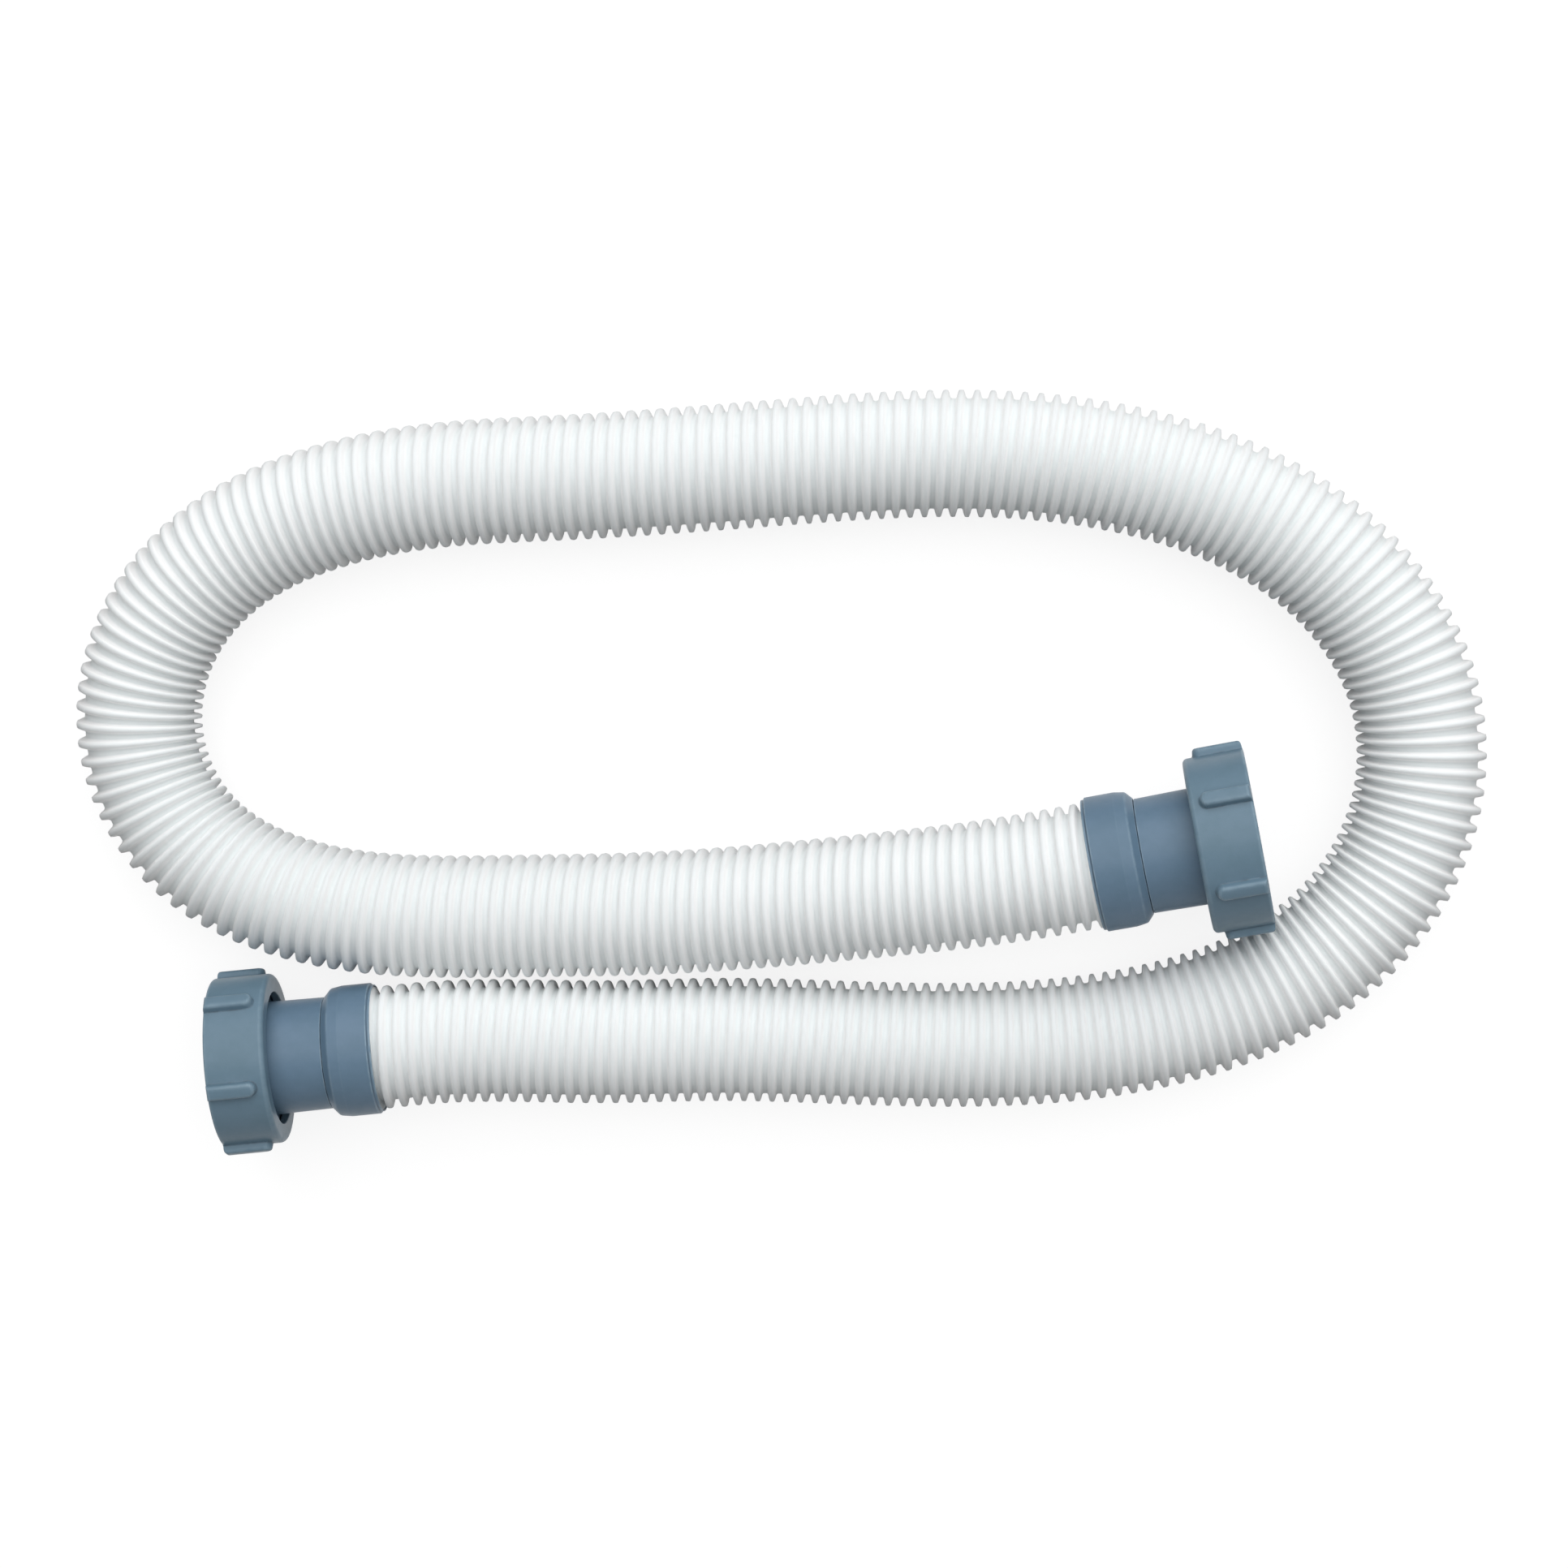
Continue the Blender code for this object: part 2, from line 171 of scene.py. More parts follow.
# Rows and columns of the nut's skin. The nose rows run on past the ribs' round noses,
# and the front rows follow the section of the ribs from the given place on.
SHOULDER_STEPS = 12
SMALL_ARC_STEPS = 4
ROW_GAP = 0.0002
NOSE_STEP = 0.00022
NOSE_OVERRUN = 0.0008
MIDDLE_STEPS = 7
MIDDLE_TO_FRONT = 0.0015
FRONT_ROWS_FROM = -1.4
BORE_STEP = 0.00042
BORE_INSET_FRONT = 0.0009
BORE_INSET_REAR = 0.0007
STEPS_BETWEEN_RIBS = 5

# Grip ribs: their plan, and their section in millimetres, outside the side and high
RIB_COUNT = 6
RIB_HALF_WIDTH = 0.00275
RIB_FRONT = 0.0212
RIB_LENGTH = 0.0174
RIB_SECTION = (
    (-2.75, 3.0), (-1.25, 2.96), (-0.78, 2.82), (-0.44, 2.55), (-0.22, 2.2), (-0.1, 1.8),
    (-0.04, 1.3), (0.0, 0.9), (0.05, 0.5), (0.15, 0.2), (0.3, 0.05), (0.5, 0.0),
)

# Thread inside the nut, and the stations where it starts, is full, fades and is gone
THREAD_PITCH = 0.0042
THREAD_HEIGHT = 0.0013
THREAD_CREST_HALF_WIDTH = 0.0004
THREAD_FOOT_HALF_WIDTH = 0.0016
THREAD_ENDS = (0.0042, 0.0064, 0.0182, 0.0203)

# Colours
HOSE_RIDGE_COLOUR = (0.81, 0.835, 0.845, 1.0)
HOSE_CLOUD_COLOUR = (0.78, 0.81, 0.815, 1.0)
HOSE_GROOVE_COLOUR = (0.80, 0.84, 0.845, 1.0)
# Painted light: a paler tone for the ridge's flanks that cancels the shade they lie in
HOSE_FLANK_PAINTED_LIGHT = (0.96, 0.98, 0.98, 1.0)
HOSE_BORE_COLOUR = (0.90, 0.90, 0.90, 1.0)
TAIL_COLOURS = ((0.122, 0.197, 0.280, 1.0), (0.104, 0.176, 0.245, 1.0))
NUT_COLOURS = ((0.127, 0.206, 0.272, 1.0), (0.109, 0.184, 0.237, 1.0))
# Painted highlight on the fittings' edges and corners
PAINTED_EDGE_HIGHLIGHT_COLOUR = (0.34, 0.45, 0.53, 1.0)
# Painted shade in the fittings' hollows and creases
PAINTED_HOLLOW_SHADE_COLOUR = (0.045, 0.065, 0.085, 1.0)
CEMENT_COLOURS = ((0.60, 0.63, 0.64, 1.0), (0.50, 0.54, 0.56, 1.0))
RUBBER_COLOURS = ((0.020, 0.020, 0.022, 1.0), (0.040, 0.040, 0.042, 1.0))

# Unevenness: the mottle is finer than the clouds it lies in and has a smaller share
MOTTLE_FINENESS = 5.3
CLOUD_SHARES = (0.65, 0.35)
ROUGHNESS_SPREAD = 0.05

# Hose plastic: how quickly the flanks take their painted light, and the limits of its roughness
FLANK_GAIN = 5.2
HOSE_ROUGHNESS = (0.54, 0.66)

# Streaks that run round the hose: repeats for each metre round it and along it, the
# least that they leave of the groove's tone and of the painted light on the flanks, and their
# relief
STREAK_SCALE = (60.0, 1400.0, 1.0)
GROOVE_LEAST = 0.7
FLANK_LEAST = 0.8
STREAK_RELIEF = 0.5


# ---------------------------------------------------------------- node helpers

def node(tree, kind, feeds=(), **settings):
    """Add a node, set its options, and feed its sockets with links or plain values."""
    made = tree.nodes.new(kind)
    for option, value in settings.items():
        setattr(made, option, value)
    for socket, value in dict(feeds).items():
        if isinstance(value, bpy.types.NodeSocket):
            tree.links.new(value, made.inputs[socket])
        else:
            made.inputs[socket].default_value = value
    return made


def sum_of(tree, operation, *values, clamp=False):
    """The answer of one Math node."""
    feeds = dict(enumerate(values))
    return node(tree, "ShaderNodeMath", feeds, operation=operation, use_clamp=clamp).outputs[0]


def vector_sum(tree, operation, *values):
    """The vector answer of one Vector Math node."""
    kind = "ShaderNodeVectorMath"
    if operation == "SCALE":
        return node(tree, kind, {0: values[0], "Scale": values[1]}, operation=operation).outputs[0]
    return node(tree, kind, dict(enumerate(values)), operation=operation).outputs[0]


def mixed(tree, share, colour, other):
    """One colour turning into another as the share goes from 0 to 1."""
    feeds = {0: share, 6: colour, 7: other}
    return node(tree, "ShaderNodeMix", feeds, data_type="RGBA").outputs[2]


def between(tree, value, low, high):
    """A value from 0 to 1 spread between two limits."""
    feeds = {"Value": value, "To Min": low, "To Max": high}
    return node(tree, "ShaderNodeMapRange", feeds).outputs[0]


def new_group(name, kind, inputs, outputs):
    """An empty node tree with named sockets, and its input sockets ready to use."""
    tree = bpy.data.node_groups.new(name, kind)
    for label, socket_type in inputs:
        tree.interface.new_socket(label, in_out="INPUT", socket_type="NodeSocket" + socket_type)
    for label, socket_type in outputs:
        tree.interface.new_socket(label, in_out="OUTPUT", socket_type="NodeSocket" + socket_type)
    return tree, tree.nodes.new("NodeGroupInput").outputs


# ---------------------------------------------------------------- camera

def set_camera():
    """Looks down on the loop, leaning a little to the right and to the back."""
    towards = Vector((math.sin(LEAN_RIGHT), math.sin(LEAN_BACK), 1.0)).normalized()
    right = Vector((0.0, 1.0, 0.0)).cross(towards).normalized()
    up = towards.cross(right)
    turned = Matrix((right, up, towards)).transposed().to_4x4()
    data = bpy.data.cameras.new("camera")
    data.lens = LENS
    camera = bpy.data.objects.new("camera", data)
    camera.matrix_world = Matrix.Translation(LOOK_AT + towards * CAMERA_DISTANCE) @ turned
    bpy.context.scene.collection.objects.link(camera)
    bpy.context.scene.camera = camera


# ---------------------------------------------------------------- fitting frames

def outward(end):
    """The direction in which a fitting's mouth looks."""
    yaw, tilt = math.radians(end["yaw"]), math.radians(end["tilt"])
    return Vector((math.cos(yaw) * math.cos(tilt), math.sin(yaw) * math.cos(tilt), math.sin(tilt)))


def fitting_frame(end):
    """Takes a piece from the fitting's own axis to where the fitting lies."""
    turned = outward(end).to_track_quat("Z", "X").to_matrix().to_4x4()
    return Matrix.Translation(end["mouth"]) @ turned


# ---------------------------------------------------------------- hose

def smooth_curve(points, first_slope, last_slope):
    """A cubic spline through the points, with its slopes given at both ends."""
    spans = np.linalg.norm(np.diff(points, axis=0), axis=1)
    system = np.eye(len(points))
    slopes = np.zeros_like(points)
    slopes[0], slopes[-1] = first_slope, last_slope
    for i in range(1, len(points) - 1):
        before, after = spans[i - 1], spans[i]
        system[i, i - 1:i + 2] = (after, 2 * (before + after), before)
        slopes[i] = 3 * (after / before * (points[i] - points[i - 1]))
        slopes[i] += 3 * (before / after * (points[i + 1] - points[i]))
    slopes = np.linalg.solve(system, slopes)
    t = np.linspace(0.0, 1.0, SPLINE_STEPS, endpoint=False)[:, None]
    pieces = []
    for i, span in enumerate(spans):
        piece = (2 * t**3 - 3 * t**2 + 1) * points[i] + (t**3 - 2 * t**2 + t) * span * slopes[i]
        piece += (3 * t**2 - 2 * t**3) * points[i + 1] + (t**3 - t**2) * span * slopes[i + 1]
        pieces.append(piece)
    return np.vstack(pieces + [points[-1:]])


def evenly_spaced(line, count):
    """The same line with its points spread evenly along it."""
    steps = np.linalg.norm(np.diff(line, axis=0), axis=1)
    distance = np.concatenate(([0.0], np.cumsum(steps)))
    wanted = np.linspace(0.0, distance[-1], count)
    return np.column_stack([np.interp(wanted, distance, line[:, axis]) for axis in range(3)])


def hose_line(count):
    """The hose's centre line, from inside one cuff along the floor into the other."""
    radius = HOSE_DIAMETER / 2
    start, end = Vector(ENDS["a"]["mouth"]), Vector(ENDS["b"]["mouth"])
    start_out, end_out = outward(ENDS["a"]), outward(ENDS["b"])
    lying = [np.array((x, y, radius + lift)) for x, y, lift in ROUTE]
    leaving = [np.array(start + start_out * along) for along in (HOSE_SEAT, 0.0, -HOSE_STRAIGHT)]
    entering = [np.array(end + end_out * along) for along in (-HOSE_STRAIGHT, 0.0, HOSE_SEAT)]
    points = np.array(leaving + lying + entering)
    line = smooth_curve(points, -np.array(start_out), np.array(end_out))
    line[:, 2] = np.maximum(line[:, 2], radius)
    return evenly_spaced(line, count)


def draw_section(mapping, points):
    """Draw straight lines through the points on a curve node, down to 0 at its end."""
    line = mapping.curves[0]
    for place, point in enumerate(points + [(1.0, 0.0)]):
        if place < len(line.points):
            line.points[place].location = point
        else:
            line.points.new(*point)
    for point in line.points:
        point.handle_type = "VECTOR"
    mapping.update()


def corrugated_hose_tree():
    """A tube with one ridge wound round it like a left-hand screw, and a plain bore.

    One grid makes the whole skin: its rows follow the ridge along the outside, come
    back straight through the bore, and close on the first row.
    """
    tree, given = new_group(
        "Corrugated hose", "GeometryNodeTree",
        (
            ("Centre line", "Geometry"), ("Crest radius", "Float"), ("Groove depth", "Float"),
            ("Pitch", "Float"), ("Bore radius", "Float"), ("Sides", "Int"), ("Bore rows", "Int"),
            ("Plastic", "Material"),
        ),
        (("Hose", "Geometry"),),
    )

    def maths(operation, *values, clamp=False):
        return sum_of(tree, operation, *values, clamp=clamp)

    line = node(tree, "GeometryNodeMeshToCurve", {"Mesh": given["Centre line"]}).outputs["Curve"]
    line = node(tree, "GeometryNodeSetCurveNormal", {"Curve": line}, mode="Z_UP").outputs["Curve"]
    length = node(tree, "GeometryNodeCurveLength", {"Curve": line}).outputs["Length"]

    # rows and columns of the grid
    one_side = [place * MILLIMETRE for place, height in RIDGE_SECTION]
    row_places = [-aside for aside in reversed(one_side)] + one_side[1:]
    rows_of_a_turn = len(row_places)
    columns = maths("ADD", given["Sides"], 1)
    turns = maths("ADD", maths("CEIL", maths("DIVIDE", length, given["Pitch"])), 2)
    outside_rows = maths("MULTIPLY", turns, rows_of_a_turn)
    all_rows = maths("ADD", maths("ADD", outside_rows, given["Bore rows"]), 1)
    grid = node(
        tree, "GeometryNodeMeshGrid", {"Vertices X": all_rows, "Vertices Y": columns}
    ).outputs["Mesh"]
    index = tree.nodes.new("GeometryNodeInputIndex").outputs[0]
    row = maths("FLOOR", maths("DIVIDE", index, columns))
    column = maths("SUBTRACT", index, maths("MULTIPLY", row, columns))
    round_share = maths("DIVIDE", column, given["Sides"])

    # distance along the hose: wound on the outside, straight in the bore
    turn = maths("FLOOR", maths("DIVIDE", row, rows_of_a_turn))
    offset = tree.nodes.new("GeometryNodeIndexSwitch")
    offset.data_type = "FLOAT"
    while len(offset.index_switch_items) < rows_of_a_turn:
        offset.index_switch_items.new()
    row_of_turn = maths("SUBTRACT", row, maths("MULTIPLY", turn, rows_of_a_turn))
    tree.links.new(row_of_turn, offset.inputs[0])
    for number, place in enumerate(row_places):
        offset.inputs[1 + number].default_value = place
    wound = maths("MULTIPLY", maths("SUBTRACT", turn, round_share), given["Pitch"])
    wound = maths("ADD", wound, offset.outputs[0])
    outside = maths("MINIMUM", maths("MAXIMUM", wound, 0.0), length)
    bore_row = maths("SUBTRACT", row, outside_rows)
    done = maths("DIVIDE", bore_row, maths("SUBTRACT", given["Bore rows"], 1), clamp=True)
    back = maths("MULTIPLY", length, maths("SUBTRACT", 1.0, done))
    returning = maths("GREATER_THAN", bore_row, -0.5)
    before_last = maths("LESS_THAN", bore_row, maths("SUBTRACT", given["Bore rows"], 0.5))
    in_bore = maths("MULTIPLY", returning, before_last)
    along = node(
        tree, "GeometryNodeSwitch", {"Switch": returning, "False": outside, "True": back},
        input_type="FLOAT",
    ).outputs[0]

    # height of the ridge, and the radius that follows from it
    winding = maths("ADD", maths("DIVIDE", along, given["Pitch"]), round_share)
    aside = maths("ABSOLUTE", maths("SUBTRACT", winding, maths("ROUND", winding)))
    section = node(tree, "ShaderNodeFloatCurve", {"Value": maths("MULTIPLY", aside, 2.0)})
    half_pitch = RIDGE_PITCH / (2 * MILLIMETRE)
    points = [(place / half_pitch, height) for place, height in RIDGE_SECTION]
    draw_section(section.mapping, points)
    ridge = section.outputs[0]
    sunk = maths("MULTIPLY", given["Groove depth"], maths("SUBTRACT", 1.0, ridge))
    skin_radius = maths("SUBTRACT", given["Crest radius"], sunk)
    radius = node(
        tree, "GeometryNodeSwitch",
        {"Switch": in_bore, "False": skin_radius, "True": given["Bore radius"]},
        input_type="FLOAT",
    ).outputs[0]

    # place of each point round the centre line
    sample = node(
        tree, "GeometryNodeSampleCurve", {"Curves": line, "Length": along}, mode="LENGTH"
    )
    angle = maths("MULTIPLY", round_share, math.tau)
    sideways = sample.outputs["Normal"]
    upwards = vector_sum(tree, "CROSS_PRODUCT", sample.outputs["Tangent"], sideways)
    spoke = vector_sum(
        tree, "ADD",
        vector_sum(tree, "SCALE", sideways, maths("COSINE", angle)),
        vector_sum(tree, "SCALE", upwards, maths("SINE", angle)),
    )
    reach = vector_sum(tree, "SCALE", spoke, radius)
    place = vector_sum(tree, "ADD", sample.outputs["Position"], reach)
    skin = node(tree, "GeometryNodeSetPosition", {"Geometry": grid, "Position": place}).outputs[0]

    # what the plastic needs to know
    ridge_kept = maths("MULTIPLY", ridge, maths("SUBTRACT", 1.0, in_bore))
    for label, value in (("ridge", ridge_kept), ("bore", in_bore)):
        skin = node(
            tree, "GeometryNodeStoreNamedAttribute",
            {"Geometry": skin, "Name": label, "Value": value}, data_type="FLOAT", domain="POINT",
        ).outputs[0]
    round_length = maths("MULTIPLY", round_share, given["Crest radius"])
    round_length = maths("MULTIPLY", round_length, math.tau)
    run = node(tree, "ShaderNodeCombineXYZ", {"X": round_length, "Y": along}).outputs[0]
    run = node(
        tree, "GeometryNodeFieldOnDomain", {0: run}, data_type="FLOAT_VECTOR", domain="POINT"
    ).outputs[0]
    skin = node(
        tree, "GeometryNodeStoreNamedAttribute",
        {"Geometry": skin, "Name": "hose_run", "Value": run}, data_type="FLOAT2", domain="CORNER",
    ).outputs[0]

    for kind, feeds in (
        ("GeometryNodeMergeByDistance", {"Distance": WELD}),
        ("GeometryNodeSetShadeSmooth", {"Shade Smooth": True}),
        ("GeometryNodeRealizeInstances", {}),
        ("GeometryNodeSetMaterial", {"Material": given["Plastic"]}),
    ):
        skin = node(tree, kind, {"Geometry": skin, **feeds}).outputs[0]
    node(tree, "NodeGroupOutput", {"Hose": skin})
    return tree


def grown(name, base_mesh, tree, values):
    """The plain mesh that a Geometry Nodes tree makes of a base mesh."""
    base = bpy.data.objects.new(name, base_mesh)
    bpy.context.scene.collection.objects.link(base)
    modifier = base.modifiers.new(tree.name, "NODES")
    modifier.node_group = tree
    for socket in tree.interface.items_tree:
        if socket.name in values:
            modifier[socket.identifier] = values[socket.name]
    graph = bpy.context.evaluated_depsgraph_get()
    result = bpy.data.meshes.new_from_object(base.evaluated_get(graph))
    result.name = name
    base.modifiers.clear()
    base.data = result
    bpy.data.meshes.remove(base_mesh)
    return base


def make_hose(plastic):
    """The corrugated hose on its centre line."""
    line = hose_line(HOSE_LINE_POINTS)
    base = bpy.data.meshes.new("hose_line")
    base.from_pydata(line.tolist(), [(i, i + 1) for i in range(len(line) - 1)], [])
    hose = grown("corrugated_hose", base, corrugated_hose_tree(), {
        "Crest radius": HOSE_DIAMETER / 2, "Groove depth": GROOVE_DEPTH, "Pitch": RIDGE_PITCH,
        "Bore radius": HOSE_BORE_RADIUS, "Sides": HOSE_SIDES, "Bore rows": HOSE_BORE_ROWS,
        "Plastic": plastic,
    })
    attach(hose, "hose_and_tails")
    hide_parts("hose")
    [tuple(point) for point in hose_line(HOSE_PATH_POINTS).tolist()]


# ---------------------------------------------------------------- turned pieces

def rounded(corners):
    """A closed outline in metres whose corners are eased, with a point held close to each."""
    corners = [
        (Vector((radius, station)) * MILLIMETRE, ease * MILLIMETRE)
        for radius, station, ease in corners
    ]
    bends = []
    for i, (corner, ease) in enumerate(corners):
        before = corners[i - 1][0] - corner
        after = corners[(i + 1) % len(corners)][0] - corner
        half_angle = before.angle(after) / 2
        reach = min(
            ease / math.tan(half_angle), CORNER_SHARE * before.length, CORNER_SHARE * after.length
        )
        if reach <= 0.0:
            bends.append([corner])
            continue
        start, end = before.normalized() * reach, after.normalized() * reach
        middle = (start + end).normalized() * (reach / math.cos(half_angle))
        first, last = (start - middle).normalized(), (end - middle).normalized()
        size = reach * math.tan(half_angle)
        spokes = [first.slerp(last, step / CORNER_STEPS) for step in range(CORNER_STEPS + 1)]
        bends.append([corner + middle + spoke * size for spoke in spokes])
    outline = []
    for i, bend in enumerate(bends):
        outline += bend
        side = bends[(i + 1) % len(bends)][0] - bend[-1]
        if side.length > 4 * HOLDING_STEP:
            held = side.normalized() * HOLDING_STEP
            outline += [bend[-1] + held, bend[-1] + side - held]
    return np.array([tuple(point) for point in outline])


def closed_skin(name, radii, stations, angles):
    """A ring-shaped skin: radii[row, column] at stations[row] and angles[column]."""
    rows, columns = radii.shape
    x = radii * np.cos(angles)[None, :]
    y = radii * np.sin(angles)[None, :]
    z = np.repeat(stations[:, None], columns, axis=1)
    points = np.stack((x, y, z), axis=-1).reshape(-1, 3)
    here = np.arange(rows * columns).reshape(rows, columns)
    onward = np.roll(here, -1, axis=1)
    above, above_onward = np.roll(here, -1, axis=0), np.roll(onward, -1, axis=0)
    faces = np.stack((here, onward, above_onward, above), axis=-1).reshape(-1, 4)
    mesh = bpy.data.meshes.new(name)
    mesh.from_pydata(points.tolist(), [], faces.tolist())

    # the skin's own map: distance round the piece, and along its outline
    steps = np.hypot(np.diff(radii[:, 0]), np.diff(stations))
    across = np.concatenate(([0.0], np.cumsum(steps), [steps.sum() + HOLDING_STEP]))
    around = np.concatenate((angles, [angles[0] + math.tau])) * radii.max()
    row, column = np.divmod(np.arange(rows * columns), columns)
    corner_rows = np.stack((row, row, row + 1, row + 1), axis=-1)
    corner_columns = np.stack((column, column + 1, column + 1, column), axis=-1)
    places = np.stack((around[corner_columns], across[corner_rows]), axis=-1)
    layer = mesh.uv_layers.new(name="piece_run")
    layer.data.foreach_set("uv", places.ravel())
    mesh.shade_smooth()
    return mesh


def mark_edges(mesh):
    """Store how sharply the skin turns out (edge) or in (hollow) at each point."""
    count = len(mesh.vertices)
    places, normals = np.empty(count * 3), np.empty(count * 3)
    mesh.vertices.foreach_get("co", places)
    mesh.vertices.foreach_get("normal", normals)
    places, normals = places.reshape(-1, 3), normals.reshape(-1, 3)
    ends = np.empty(len(mesh.edges) * 2, dtype=np.int32)
    mesh.edges.foreach_get("vertices", ends)
    ends = ends.reshape(-1, 2)
    bend, met = np.zeros(count), np.zeros(count)
    for here, there in ((0, 1), (1, 0)):
        side = places[ends[:, there]] - places[ends[:, here]]
        squared = np.maximum((side**2).sum(axis=1), SHORTEST_EDGE_SQUARED)
        turn = 2 * np.einsum("ij,ij->i", side, normals[ends[:, here]]) / squared
        np.add.at(bend, ends[:, here], turn)
        np.add.at(met, ends[:, here], 1.0)
    bend = bend / np.maximum(met, 1.0) * MILLIMETRE
    for label, value in (("edge", -bend), ("hollow", bend)):
        value = np.clip((value - SOFT_BEND) / BEND_RANGE, 0.0, 1.0)
        mesh.attributes.new(label, "FLOAT", "POINT").data.foreach_set("value", value)


def settle(name, mesh, end, finish, body, node_name):
    """Put a piece where its fitting lies, give it its finish, and hide the solid, if any, that it
    stands for.
    """
    mark_edges(mesh)
    mesh.transform(fitting_frame(end))
    mesh.materials.append(finish)
    piece = bpy.data.objects.new(name, mesh)
    bpy.context.scene.collection.objects.link(piece)
    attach(piece, body)
    if node_name:
        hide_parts(node_name)


def turned_piece(name, corners):
    """A piece spun from its outline."""
    outline = rounded(corners)
    angles = np.arange(TURNED_SIDES) * math.tau / TURNED_SIDES
    radii = np.repeat(outline[:, :1], TURNED_SIDES, axis=1)
    return closed_skin(name, radii, outline[:, 1], angles)


# ---------------------------------------------------------------- coupling nut

def arc(middle, size, start, end, steps):
    """Points on an arc in the plane of radius and station, angles in degrees."""
    angles = np.radians(np.linspace(start, end, steps + 1))
    return [(middle[0] + size * math.cos(a), middle[1] + size * math.sin(a)) for a in angles]


def eased_step(value, start, end):
    """Goes smoothly from 0 at the start to 1 at the end."""
    share = np.clip((value - start) / (end - start), 0.0, 1.0)
    return share * share * (3 - 2 * share)


def rib_heights(stations, angles):
    """How far the grip ribs stand out at each station and angle."""
    section = np.array(RIB_SECTION) * MILLIMETRE
    pitch = math.tau / RIB_COUNT
    aside = np.abs((angles + pitch / 2) % pitch - pitch / 2) * (NUT_RADIUS + RIB_HALF_WIDTH / 2)
    nose = RIB_FRONT - RIB_LENGTH + RIB_HALF_WIDTH
    behind = np.maximum(nose - stations, 0.0)
    outside = np.hypot(aside[None, :], behind[:, None]) - RIB_HALF_WIDTH
    outside = np.maximum(outside, stations[:, None] - RIB_FRONT)
    return np.interp(outside, section[:, 0], section[:, 1])


def thread_heights(stations, angles):
    """How far the thread stands into the bore: a right-hand screw with run-outs."""
    winding = stations[:, None] / THREAD_PITCH - angles[None, :] / math.tau
    aside = np.abs(winding - np.round(winding)) * THREAD_PITCH
    rise = 1.0 - eased_step(aside, THREAD_CREST_HALF_WIDTH, THREAD_FOOT_HALF_WIDTH)
    start, full, fading, gone = THREAD_ENDS
    present = eased_step(stations, start, full) * (1.0 - eased_step(stations, fading, gone))
    return THREAD_HEIGHT * rise * present[:, None]


def nut_angles():
    """Columns that are close together on the flanks of the ribs."""
    section = [outside * MILLIMETRE + RIB_HALF_WIDTH for outside, height in RIB_SECTION]
    half_pitch = math.pi / RIB_COUNT
    half = [place / (NUT_RADIUS + RIB_HALF_WIDTH / 2) for place in section if place > 0.0]
    half.insert(0, half[0] / 2)
    half += list(np.linspace(half[-1], half_pitch, STEPS_BETWEEN_RIBS + 1)[1:-1])
    one = sorted([-angle for angle in half] + [0.0] + half + [half_pitch])
    return np.concatenate([np.array(one) + rib * 2 * half_pitch for rib in range(RIB_COUNT)])


def nut_mesh(name):
    """The nut's shell with its grip ribs outside and its thread inside, as one skin."""
    hole, rim = NUT_HOLE_RADIUS + NUT_HOLE_EDGE, NUT_RADIUS - NUT_EDGE
    shoulder_radius, corner_radius = NUT_RADIUS - NUT_SHOULDER, NUT_BORE_RADIUS - NUT_CORNER
    rear = arc((hole, NUT_HOLE_EDGE), NUT_HOLE_EDGE, 180, 270, SMALL_ARC_STEPS)
    rear += [(hole + HOLDING_STEP, 0.0), (shoulder_radius - HOLDING_STEP, 0.0)]
    rear += arc((shoulder_radius, NUT_SHOULDER), NUT_SHOULDER, -90, 0, SHOULDER_STEPS)

    # outside: close rows round the ribs' noses and fronts, wide ones between them
    nose_end = RIB_FRONT - RIB_LENGTH + RIB_HALF_WIDTH
    nose = np.arange(NUT_SHOULDER + ROW_GAP, nose_end + NOSE_OVERRUN, NOSE_STEP)
    middle = np.linspace(nose[-1], RIB_FRONT - MIDDLE_TO_FRONT, MIDDLE_STEPS + 1)[1:]
    front = [
        RIB_FRONT + outside * MILLIMETRE
        for outside, height in RIB_SECTION if outside > FRONT_ROWS_FROM
    ]
    front = [station for station in front if station < NUT_LENGTH - ROW_GAP / 2]
    barrel = []
    for station in list(nose) + list(middle) + front:
        inside_edge = max(station - (NUT_LENGTH - NUT_EDGE), 0.0)
        barrel.append((rim + math.sqrt(NUT_EDGE**2 - inside_edge**2), station))

    mouth = [(rim, NUT_LENGTH), (rim - ROW_GAP, NUT_LENGTH)]
    mouth += [(NUT_BORE_RADIUS + wider, NUT_LENGTH - inside) for wider, inside in NUT_LEAD_IN]
    bore_stations = np.arange(
        NUT_LENGTH - BORE_INSET_FRONT, NUT_REAR_WALL + BORE_INSET_REAR, -BORE_STEP
    )
    bore = [(NUT_BORE_RADIUS, station) for station in bore_stations]
    back = arc((corner_radius, NUT_REAR_WALL + NUT_CORNER), NUT_CORNER, 0, -90, SMALL_ARC_STEPS)
    back += [(hole + HOLDING_STEP, NUT_REAR_WALL)]
    back += arc((hole, NUT_REAR_WALL - NUT_HOLE_EDGE), NUT_HOLE_EDGE, 90, 180, SMALL_ARC_STEPS)

    outline = np.array(rear + barrel + mouth + bore + back)
    angles = nut_angles()
    radii = np.repeat(outline[:, :1], len(angles), axis=1)
    ribbed = slice(len(rear), len(rear + barrel))
    threaded = slice(len(rear + barrel + mouth), len(rear + barrel + mouth + bore))
    radii[ribbed] += rib_heights(outline[ribbed, 1], angles)
    radii[threaded] -= thread_heights(outline[threaded, 1], angles)
    return closed_skin(name, radii, outline[:, 1], angles)


